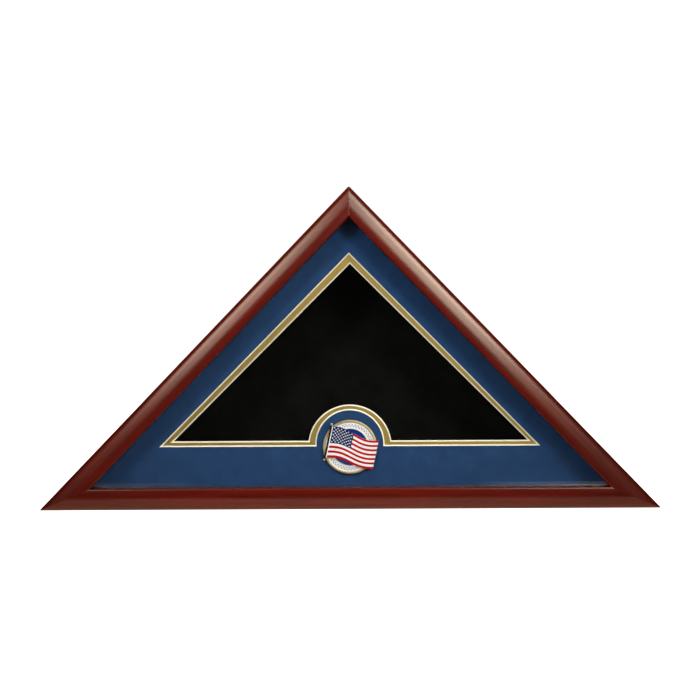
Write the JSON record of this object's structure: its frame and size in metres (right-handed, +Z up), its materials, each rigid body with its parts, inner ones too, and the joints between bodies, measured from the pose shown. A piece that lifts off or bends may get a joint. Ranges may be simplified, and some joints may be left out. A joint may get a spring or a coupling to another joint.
{
  "type": "folded flag display case",
  "caption": "Triangular mahogany case with a glazed front, a double mat with a medallion, and a removable back held by turn buttons, for showing a folded flag.",
  "frame": {"origin": "middle of the underside of the bounding box, on the surface that the case stands on", "axes": "+X to the right seen from the glazed front, +Y from the glazed front to the back, +Z up to the apex"},
  "size_m": [0.6586, 0.1194, 0.3423],
  "materials": {
    "mahogany": "satin lacquer over a dark red mahogany stain",
    "clear_glass": "clear polished float glass",
    "black_plastic": "matt black",
    "blue_mat_board": "matt navy paper face on a cream core",
    "gold_mat_board": "brushed metallic gold paper face on a cream core",
    "stop_pine": "bare pine",
    "champagne_gold": "polished pale gold plate",
    "foam_tape": "white foam tape",
    "white_enamel": "glossy white enamel",
    "blue_enamel": "glossy royal blue enamel",
    "flag_enamel": "glossy red, white and blue enamel",
    "fibreboard": "smooth brown hardboard",
    "black_felt": "short-napped black felt",
    "brass_plate": "satin brass plate",
    "nickel_plate": "bright nickel plate",
    "zinc_steel": "zinc plated steel",
    "bumper_rubber": "matt black rubber"
  },
  "bodies": {
    "case": {"blue_mat": "blue_mat_board", "bottom_mat_stop": "stop_pine", "bottom_moulding": "mahogany", "bottom_spacer": "black_plastic", "button_screw_bottom_1": "zinc_steel", "button_screw_bottom_2": "zinc_steel", "button_screw_left_1": "zinc_steel", "button_screw_left_2": "zinc_steel", "button_screw_right_1": "zinc_steel", "button_screw_right_2": "zinc_steel", "front_glass": "clear_glass", "gold_mat": "gold_mat_board", "left_mat_stop": "stop_pine", "left_moulding": "mahogany", "left_spacer": "black_plastic", "medallion_adhesive_pad": "foam_tape", "medallion_blue_field": "blue_enamel", "medallion_coin": "champagne_gold", "medallion_flag": "flag_enamel", "medallion_flag_staff": "champagne_gold", "medallion_white_ring": "white_enamel", "right_mat_stop": "stop_pine", "right_moulding": "mahogany", "right_spacer": "black_plastic", "ring_screw_left": "zinc_steel", "ring_screw_right": "zinc_steel", "ring_strap_left": "nickel_plate", "ring_strap_right": "nickel_plate", "v_nail_apex_1": "zinc_steel", "v_nail_apex_2": "zinc_steel", "v_nail_left_1": "zinc_steel", "v_nail_left_2": "zinc_steel", "v_nail_right_1": "zinc_steel", "v_nail_right_2": "zinc_steel", "wall_bumper_left": "bumper_rubber", "wall_bumper_right": "bumper_rubber"},
    "back": {"back_panel": "fibreboard", "felt_lining": "black_felt"},
    "hanging_ring_left": {"hanging_ring_left": "nickel_plate"},
    "hanging_ring_right": {"hanging_ring_right": "nickel_plate"},
    "turn_button_bottom_1": {"turn_button_bottom_1": "brass_plate"},
    "turn_button_bottom_2": {"turn_button_bottom_2": "brass_plate"},
    "turn_button_left_1": {"turn_button_left_1": "brass_plate"},
    "turn_button_left_2": {"turn_button_left_2": "brass_plate"},
    "turn_button_right_1": {"turn_button_right_1": "brass_plate"},
    "turn_button_right_2": {"turn_button_right_2": "brass_plate"}
  },
  "joints": [
    {"name": "back_removal", "type": "slide", "parent": "case", "child": "back", "axis": [0, 1, 0], "range_m": [0, 0.12]},
    {"name": "turn_bottom_1", "type": "hinge", "parent": "case", "child": "turn_button_bottom_1", "pos_m": [-0.18491, 0.05555, 0.0065], "axis": [0, 1, 0], "range_deg": [0, 90]},
    {"name": "turn_bottom_2", "type": "hinge", "parent": "case", "child": "turn_button_bottom_2", "pos_m": [0.18491, 0.05555, 0.0065], "axis": [0, -1, 0], "range_deg": [0, 90]},
    {"name": "turn_right_1", "type": "hinge", "parent": "case", "child": "turn_button_right_1", "pos_m": [0.25947, 0.05555, 0.06419], "axis": [0, 1, 0], "range_deg": [0, 90]},
    {"name": "turn_right_2", "type": "hinge", "parent": "case", "child": "turn_button_right_2", "pos_m": [0.06135, 0.05555, 0.27029], "axis": [0, 1, 0], "range_deg": [0, 90]},
    {"name": "turn_left_1", "type": "hinge", "parent": "case", "child": "turn_button_left_1", "pos_m": [-0.06135, 0.05555, 0.27029], "axis": [0, -1, 0], "range_deg": [0, 90]},
    {"name": "turn_left_2", "type": "hinge", "parent": "case", "child": "turn_button_left_2", "pos_m": [-0.25947, 0.05555, 0.06419], "axis": [0, -1, 0], "range_deg": [0, 90]},
    {"name": "ring_swing_left", "type": "hinge", "parent": "case", "child": "hanging_ring_left", "pos_m": [-0.1406, 0.05705, 0.18785], "axis": [0.7209, 0, -0.693], "range_deg": [0, 170]},
    {"name": "ring_swing_right", "type": "hinge", "parent": "case", "child": "hanging_ring_right", "pos_m": [0.1406, 0.05705, 0.18785], "axis": [0.7209, 0, 0.693], "range_deg": [0, 170]}
  ]
}
